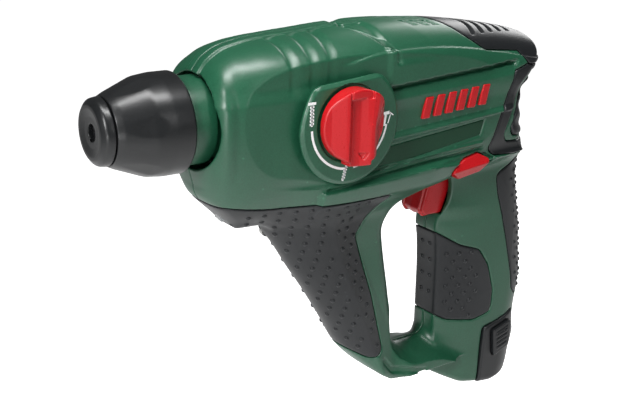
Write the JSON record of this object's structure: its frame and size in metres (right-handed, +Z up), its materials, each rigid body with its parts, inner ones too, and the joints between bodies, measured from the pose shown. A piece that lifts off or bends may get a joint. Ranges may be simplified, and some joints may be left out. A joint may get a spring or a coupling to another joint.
{
  "type": "rotary hammer",
  "caption": "Compact pistol-shaped battery rotary hammer with a closed hand loop, conical chuck, side mode knob and slide-in grip battery.",
  "frame": {"origin": "centre of the tool bore's mouth on the front face of the dust cap", "axes": "+Z up, -X out of the nose along the spindle, -Y to the tool's left side, where the mode knob is"},
  "size_m": [0.2302, 0.0691, 0.1901],
  "materials": {
    "green_shell": "fine spark-eroded grain",
    "black_plastic": "fine grain",
    "soft_grip": "soft matt moulding with round bumps",
    "fastener_steel": "zinc plated",
    "red_plastic": "satin gloss",
    "lamp_lens": "clear",
    "lamp": "clear epoxy",
    "cast_case": "die cast",
    "bronze": "sintered",
    "seal_rubber": "moulded",
    "bearing_steel": "ground",
    "hardened_steel": "turned and hardened",
    "gear_steel": "machined",
    "spring_steel": "wire, oiled",
    "sleeve_plastic": "satin",
    "piston_alloy": "turned",
    "motor_shell": "zinc plated, drawn",
    "magnet": "ferrite",
    "carbon": "sintered",
    "winding": "enamelled wire and laminations",
    "board": "solder mask",
    "battery_plastic": "fine grain",
    "cell_wrap": "shrink wrap"
  },
  "bodies": {
    "root": {"housing_left": "green_shell", "housing_right": "green_shell", "nose_collar": "green_shell", "rear_cover": "black_plastic", "vent_grille": "black_plastic", "selector_plate": "green_shell", "strut_pad": "soft_grip", "finger_pad": "soft_grip", "palm_pad": "soft_grip", "housing_screws": "fastener_steel", "side_badge": "red_plastic", "led_lens": "lamp_lens", "led_lamp": "lamp", "gear_case": "cast_case", "gear_cover": "cast_case", "front_bush": "bronze", "spindle_seal": "seal_rubber", "tube_bush": "bronze", "shaft_front_bush": "bronze", "shaft_bearing_outer": "bearing_steel", "shaft_bearing_balls": "bearing_steel", "motor_can": "motor_shell", "magnets": "magnet", "motor_cap": "black_plastic", "brushes": "carbon", "switch_body": "black_plastic", "circuit_board": "board", "contact_block": "black_plastic"},
    "spindle": {"hammer_tube": "hardened_steel", "dust_cap": "seal_rubber", "retaining_ring": "spring_steel", "lock_balls": "bearing_steel", "spindle_gear": "gear_steel", "sleeve_spring": "spring_steel"},
    "sleeve": {"chuck_sleeve": "sleeve_plastic", "lock_ring": "hardened_steel"},
    "anvil_body": {"anvil": "hardened_steel"},
    "striker_body": {"striker": "hardened_steel", "striker_ring": "seal_rubber"},
    "piston_body": {"piston": "piston_alloy"},
    "piston_pin_body": {"piston_pin": "hardened_steel"},
    "wobble": {"wobble_ring": "hardened_steel"},
    "layshaft": {"countershaft": "hardened_steel", "shaft_gear": "gear_steel", "wobble_hub": "hardened_steel", "wobble_balls": "bearing_steel", "shaft_bearing_inner": "bearing_steel"},
    "rotor": {"armature": "winding", "rotor_shaft": "hardened_steel", "motor_pinion": "gear_steel"},
    "selector": {"mode_knob": "red_plastic", "selector_shaft": "hardened_steel"},
    "shift": {"shift_ring": "hardened_steel"},
    "trigger_body": {"trigger": "red_plastic", "trigger_spring": "spring_steel"},
    "direction": {"direction_lever": "red_plastic"},
    "battery": {"battery_case": "battery_plastic", "battery_cells": "cell_wrap"},
    "latch_l": {"latch_left": "battery_plastic"},
    "latch_r": {"latch_right": "battery_plastic"}
  },
  "joints": [
    {"name": "spindle_turn", "type": "hinge", "parent": "root", "child": "spindle", "pos_m": [0, 0, 0], "axis": [1, 0, 0], "continuous": true},
    {"name": "sleeve_slide", "type": "slide", "parent": "spindle", "child": "sleeve", "axis": [1, 0, 0], "range_m": [0, 0.006], "stiffness_N_per_m": 300, "deforming": ["sleeve_spring"]},
    {"name": "anvil_slide", "type": "slide", "parent": "spindle", "child": "anvil_body", "axis": [1, 0, 0], "range_m": [0, 0.0016]},
    {"name": "striker_slide", "type": "slide", "parent": "spindle", "child": "striker_body", "axis": [1, 0, 0], "range_m": [-0.004, 0.0008]},
    {"name": "layshaft_turn", "type": "hinge", "parent": "root", "child": "layshaft", "pos_m": [0.118, 0, -0.0235], "axis": [1, 0, 0], "continuous": true},
    {"name": "rotor_turn", "type": "hinge", "parent": "root", "child": "rotor", "pos_m": [0.17, 0, -0.0019], "axis": [1, 0, 0], "continuous": true},
    {"name": "wobble_swing", "type": "hinge", "parent": "root", "child": "wobble", "pos_m": [0.118, 0, -0.0235], "axis": [0, 1, 0], "range_deg": [-12, 12]},
    {"name": "piston_slide", "type": "slide", "parent": "root", "child": "piston_body", "axis": [1, 0, 0], "range_m": [-0.0052, 0.0052]},
    {"name": "piston_pin_turn", "type": "hinge", "parent": "piston_body", "child": "piston_pin_body", "pos_m": [0.118, 0, 0], "axis": [0, 1, 0], "range_deg": [-12.5, 12.5]},
    {"name": "knob_turn", "type": "hinge", "parent": "root", "child": "selector", "pos_m": [0.0975, -0.03, -0.0018], "axis": [0, 1, 0], "range_deg": [-90, 90]},
    {"name": "shift_slide", "type": "slide", "parent": "spindle", "child": "shift", "axis": [1, 0, 0], "range_m": [-0.0031, 0.0031]},
    {"name": "trigger_pull", "type": "slide", "parent": "root", "child": "trigger_body", "axis": [1, 0, 0], "range_m": [0, 0.0045], "stiffness_N_per_m": 400, "deforming": ["trigger_spring"]},
    {"name": "direction_slide", "type": "slide", "parent": "root", "child": "direction", "axis": [0, 1, 0], "range_m": [-0.0025, 0.0025]},
    {"name": "battery_slide", "type": "slide", "parent": "root", "child": "battery", "axis": [0.1045, 0, -0.9945], "range_m": [0, 0.12]},
    {"name": "latch_left_press", "type": "slide", "parent": "battery", "child": "latch_l", "axis": [0, 1, 0], "range_m": [0, 0.002], "stiffness_N_per_m": 300},
    {"name": "latch_right_press", "type": "slide", "parent": "battery", "child": "latch_r", "axis": [0, -1, 0], "range_m": [0, 0.002], "stiffness_N_per_m": 300}
  ],
  "couplings": [
    {"joint": "layshaft_turn", "follows": "spindle_turn", "ratio": -3.2727},
    {"joint": "rotor_turn", "follows": "spindle_turn", "ratio": 11.455},
    {"joint": "piston_slide", "follows": "wobble_swing", "m_per_rad": 0.02385},
    {"joint": "piston_pin_turn", "follows": "wobble_swing", "ratio": 1},
    {"joint": "shift_slide", "follows": "knob_turn", "m_per_rad": 0.0019099}
  ]
}
